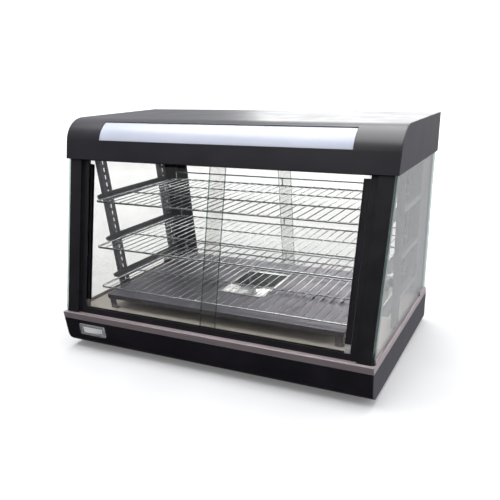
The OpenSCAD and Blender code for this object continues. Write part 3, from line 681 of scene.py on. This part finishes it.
# ---- Hood shell ----
# One steel sheet, 2 mm: a leaning front, a curve of 75 mm radius, a flat top and a short rear
# drop. A long window is cut in the curve for the opal panel, and it is powder coated satin black.
CURVE = (218.0, 509.0)
top_edge = (CURVE[0], CURVE[1] + 75)
rise = math.radians(LEAN)
curve_foot = (CURVE[0] - 75 * math.cos(rise), CURVE[1] + 75 * math.sin(rise))
low_front = (curve_foot[0] - (curve_foot[1] - 490) * math.tan(rise), 490)
hood = flat_strip("hood_sheet", -448, 448, low_front, curve_foot)
pick(hood, "EDGE", lambda p, e: abs(p.z - curve_foot[1]) < 0.1)
roll(2.5, CURVE, 1)
roll(43, CURVE, 22)
roll(26, CURVE, 13)
run_on(525 - CURVE[0], 0)
run_on(0, -94)
score(hood, [(case(x, 0, 540), (1, 0, 0)) for x in (-343, 343)])
pick(hood, "FACE", lambda p, f: abs(p.x) < 343 and p.y < CURVE[0]
     and 26 < math.degrees(math.atan2(CURVE[0] - p.y, p.z - CURVE[1])) < 69)
bpy.ops.mesh.delete(type="FACE")
modify(hood, "SOLIDIFY", thickness=0.002, offset=-1)
ease(hood, 0.5)
fit(hood, "cabinet", "black_paint", satin_black, "hood_shell")
# The hood's sides take the same copy of the coat, its colour painted lighter for the light on the
# sides.
for side in ("hood_side_left", "hood_side_right"):
    eased(side, 0.5, "side_paint", lit_side_satin)

# ---- Opal panel ----
# Cast acrylic, 3 mm, opal white, heat bent to the hood's curve and held behind the window. A faint
# emission paints the glow of the lamp behind it, made uneven by a broad cloudy noise.
# Painted glow: the emission, in the panel's own colour, stands in for the lamp's light coming through.
opal, shader = new_finish("opal_cast_acrylic", IOR=1.49, Roughness=0.28,
                          Subsurface_Weight=0.15, Emission_Strength=0.04)
place = add(opal, "ShaderNodeTexCoord").outputs["Object"]
glow = add(opal, "ShaderNodeTexNoise", {"Vector": place, "Scale": 4, "Detail": 2})
milk_and_painted_glow = shades(opal, glow.outputs["Fac"], [(0.3, "#adafbd"), (0.7, "#b9bbc8")])
drive(opal, shader, Base_Color=milk_and_painted_glow, Emission_Color=milk_and_painted_glow)
inner = 72.9
start = math.radians(90 - LEAN)
panel_foot = (CURVE[0] - inner * math.sin(start), CURVE[1] + inner * math.cos(start))
before = (panel_foot[0] - 0.5 * math.sin(rise), panel_foot[1] - 0.5 * math.cos(rise))
panel = flat_strip("opal_window", -349, 349, before, panel_foot)
pick(panel, "EDGE", lambda p, e: abs(p.z - panel_foot[1]) < 0.05)
roll(49.5, CURVE, 24)
modify(panel, "SOLIDIFY", thickness=0.003, offset=-1)
ease(panel, 0.4)
fit(panel, "cabinet", "opal", opal, "opal_panel")

# ---- Inside the hood ----
# A galvanised ceiling plate, a white fluorescent tube in two holders, and its driver in a
# moulded white case.
galvanised = grey_coat("hot_dip_galvanised_sheet", "#9a9da0", "#b9bcbe")
eased("hood_ceiling", 0.3, "galvanised", galvanised)
lamp, shader = new_finish("phosphor_coated_lamp_glass", IOR=1.5, Roughness=0.2,
                          Emission_Strength=0.6)
place = add(lamp, "ShaderNodeTexCoord").outputs["Object"]
coat = add(lamp, "ShaderNodeTexNoise", {"Vector": place, "Scale": 50, "Detail": 2})
white = shades(lamp, coat.outputs["Fac"], [(0.3, "#ececf2"), (0.7, "#f7f7fa")])
drive(lamp, shader, Base_Color=white, Emission_Color=white)
eased("lamp_tube", 0.4, "lamp_glass", lamp)
moulded_white, shader = new_finish("moulded_white_polycarbonate", IOR=1.58)
place = add(moulded_white, "ShaderNodeTexCoord").outputs["Object"]
grain = add(moulded_white, "ShaderNodeTexNoise", {"Vector": place, "Scale": 500, "Detail": 2})
drive(moulded_white, shader,
      Base_Color=shades(moulded_white, grain.outputs["Fac"], [(0.3, "#eeedea"), (0.7, "#f8f7f5")]),
      Roughness=add(moulded_white, "ShaderNodeMapRange", {"Value": grain.outputs["Fac"],
                                                          "To Min": 0.28, "To Max": 0.42}
                    ).outputs["Result"])
eased("lamp_holders", 0.5, "white_plastic", moulded_white)
eased("lamp_driver", 0.8, "white_plastic", moulded_white)

# ---- Light switch ----
# A white rocker in a chromed bezel, behind a clear moulded splash cover that flexes as it is
# pressed. The bezel is plated ABS, as bright as the wires.
plated, shader = new_finish("chrome_plated_abs", Metallic=0.6)
place = add(plated, "ShaderNodeTexCoord").outputs["Object"]
ripple = add(plated, "ShaderNodeTexNoise", {"Vector": place, "Scale": 120, "Detail": 2})
drive(plated, shader,
      Base_Color=shades(plated, ripple.outputs["Fac"], [(0.3, "#c3c3cb"), (0.7, "#e2e2e8")]),
      Roughness=add(plated, "ShaderNodeMapRange", {"Value": ripple.outputs["Fac"],
                                                   "To Min": 0.08, "To Max": 0.2}
                    ).outputs["Result"])
eased("light_switch_bezel", 0.6, "chrome_trim", plated, 3)
eased("light_rocker", 0.8, "white_plastic", moulded_white, 3)
splash = float_glass("clear_moulded_vinyl", "#fafafa", 0.05)
eased("light_switch_cover", 1.2, "clear_plastic", splash, 4)


# ---- Rear controls ----
# A black switch body with a red rocker, a thermostat with its spindle through the panel and a
# fluted knob on it, and a nylon cable gland.
def moulded(name, dark, light, low, high):
    """An injection-moulded plastic with a spark-eroded grain of about 0.4 mm, drawn at 1 mm."""
    finish, shader = new_finish(name, IOR=1.54)
    place = add(finish, "ShaderNodeTexCoord").outputs["Object"]
    grain = add(finish, "ShaderNodeTexNoise", {"Vector": place, "Scale": 1000, "Detail": 2})
    soft = add(finish, "ShaderNodeTexNoise", {"Vector": place, "Scale": 60, "Detail": 3})
    rough = add(finish, "ShaderNodeMapRange", {"Value": soft.outputs["Fac"], "To Min": low,
                                               "To Max": high})
    bump = add(finish, "ShaderNodeBump", {"Height": grain.outputs["Fac"], "Strength": 0.2,
                                          "Distance": 0.0001})
    drive(finish, shader,
          Base_Color=shades(finish, soft.outputs["Fac"], [(0.3, dark), (0.7, light)]),
          Roughness=rough.outputs["Result"], Normal=bump.outputs["Normal"])
    return finish


black_abs = moulded("moulded_black_abs", "#151517", "#1f1f22", 0.35, 0.55)
red_rocker = moulded("moulded_red_polycarbonate", "#8e1212", "#a51a18", 0.2, 0.35)
eased("power_switch_body", 0.5, "black_plastic", black_abs, 3)
eased("power_rocker", 0.6, "red_plastic", red_rocker, 3)
eased("thermostat", 0.4, "galvanised", galvanised)
eased("thermostat_knob", 0.5, "black_plastic", black_abs, 3)
eased("cable_gland", 0.4, "black_plastic", black_abs, 2)

# ---- Studio ----
# A pale paper floor and backdrop lit to white, soft lamps, and the camera. The case mirrors the sky
# instead of the paper, with a white card low on the right. The paper glows more further out, so
# that it stays white past the lamps and still takes a shadow under the case.
paper, shader = new_finish("pale_paper_sweep", Roughness=0.9, Specular_IOR_Level=0.1)
place = add(paper, "ShaderNodeTexCoord").outputs["Object"]
fibre = add(paper, "ShaderNodeTexNoise", {"Vector": place, "Scale": 3, "Detail": 2})
pale = shades(paper, fibre.outputs["Fac"], [(0.3, "#bcbcbd"), (0.7, "#c2c2c3")])
lit = shades(paper, fibre.outputs["Fac"], [(0.3, "#fafafb"), (0.7, "#fefeff")])
away = add(paper, "ShaderNodeVectorMath", {0: place}, operation="LENGTH").outputs["Value"]
drive(paper, shader, Base_Color=pale, Emission_Color=lit,
      Emission_Strength=add(paper, "ShaderNodeMapRange", {
          "Value": away, "From Min": 0.7, "From Max": 3.0, "To Min": 0.14, "To Max": 0.95}
                            ).outputs["Result"])
sweep = flat_strip("paper_sweep", -12000, 12000, (0, 0), (5200, 0))
pick(sweep, "EDGE", lambda p, e: p.y > 5199)
bpy.ops.mesh.spin(steps=12, angle=math.radians(-90), center=case(0, 5200, 800), axis=(1, 0, 0))
run_on(0, 3200)
bpy.ops.object.mode_set(mode="OBJECT")
bpy.ops.object.shade_smooth()
apron = flat_strip("paper_apron", -12000, 12000, (-12000, 0), (0, 0))
bpy.ops.mesh.primitive_cylinder_add(vertices=64, radius=11, depth=9, end_fill_type="NOTHING",
                                    location=(0, 0, 4.5))
screen = bpy.context.object
screen.name = screen.data.name = "paper_screen"
bpy.ops.object.transform_apply(location=True, rotation=True, scale=True)
bpy.ops.object.shade_smooth()
screen.visible_diffuse = screen.visible_shadow = False
for paper_part in (sweep, apron, screen):
    paper_part.visible_glossy = False
    paper_part.data.materials.append(paper)

world = bpy.data.worlds.new("studio")
bpy.context.scene.world = world
world.use_nodes = True
sky = world.node_tree.nodes["Background"]
sky.inputs["Color"].default_value = linear("#f2f4f8")
toward = add(world, "ShaderNodeSeparateXYZ",
             {"Vector": add(world, "ShaderNodeTexCoord").outputs["Generated"]}).outputs
upper = add(world, "ShaderNodeMapRange", {"Value": toward["Z"], "From Min": -0.1,
                                          "From Max": 0.35, "To Min": 0.06, "To Max": 0.95})
rear = add(world, "ShaderNodeMapRange", {"Value": toward["Y"], "From Min": -0.7,
                                         "From Max": 0.3, "To Min": 0.3, "To Max": 1.0})
level = add(world, "ShaderNodeMath", {0: upper.outputs["Result"], 1: rear.outputs["Result"]},
            operation="MULTIPLY")
beside = add(world, "ShaderNodeMapRange", {"Value": toward["X"], "From Min": 0.02,
                                           "From Max": 0.2, "To Max": 0.75})
below = add(world, "ShaderNodeMapRange", {"Value": toward["Z"], "From Min": 0.1,
                                          "From Max": -0.08})
card = add(world, "ShaderNodeMath", {0: beside.outputs["Result"], 1: below.outputs["Result"],
                                     2: level.outputs["Value"]}, operation="MULTIPLY_ADD")
world.node_tree.links.new(card.outputs["Value"], sky.inputs["Strength"])


def soft_lamp(name, place, aim, size, watts):
    """A softbox at a point, turned towards another."""
    light = bpy.data.lights.new(name, "AREA")
    light.shape, light.size, light.size_y, light.energy = "RECTANGLE", size[0], size[1], watts
    holder = bpy.data.objects.new(name, light)
    holder.location = place
    holder.rotation_euler = (Vector(aim) - Vector(place)).to_track_quat("-Z", "Y").to_euler()
    holder.visible_camera = False
    bpy.context.scene.collection.objects.link(holder)


soft_lamp("overhead", (-0.3, 0.2, 2.9), (0, 0, 0.3), (3.2, 2.6), 150)
soft_lamp("behind", (0.2, 3.0, 1.6), (0, 0, 0.5), (4.0, 1.6), 60)
soft_lamp("right", (3.0, 0.6, 1.2), (0, 0, 0.4), (2.4, 1.8), 40)
soft_lamp("front", (-0.9, -2.1, 2.3), (0, 0, 0.2), (1.6, 0.9), 5)

camera = bpy.data.objects.new("camera", bpy.data.cameras.new("camera"))
bpy.context.scene.collection.objects.link(camera)
bpy.context.scene.camera = camera
turn, down, tip = math.radians(23.052), math.radians(28.006), math.radians(-1.147)
ahead = Vector((-math.sin(turn) * math.cos(down), math.cos(turn) * math.cos(down),
                -math.sin(down)))
flat_right = Vector((math.cos(turn), math.sin(turn), 0))
flat_up = flat_right.cross(ahead)
across = flat_right * math.cos(tip) + flat_up * math.sin(tip)
above = flat_up * math.cos(tip) - flat_right * math.sin(tip)
camera.matrix_world = (Matrix.Translation((0.7302, -1.2297, 0.6863))
                       @ Matrix((across, above, -ahead)).transposed().to_4x4())
camera.data.sensor_width = 36
camera.data.lens = 37.95
camera.data.shift_x, camera.data.shift_y = -0.1382, 0.199
camera.data.clip_start, camera.data.clip_end = 0.05, 50
bpy.context.scene.view_settings.view_transform = "Standard"
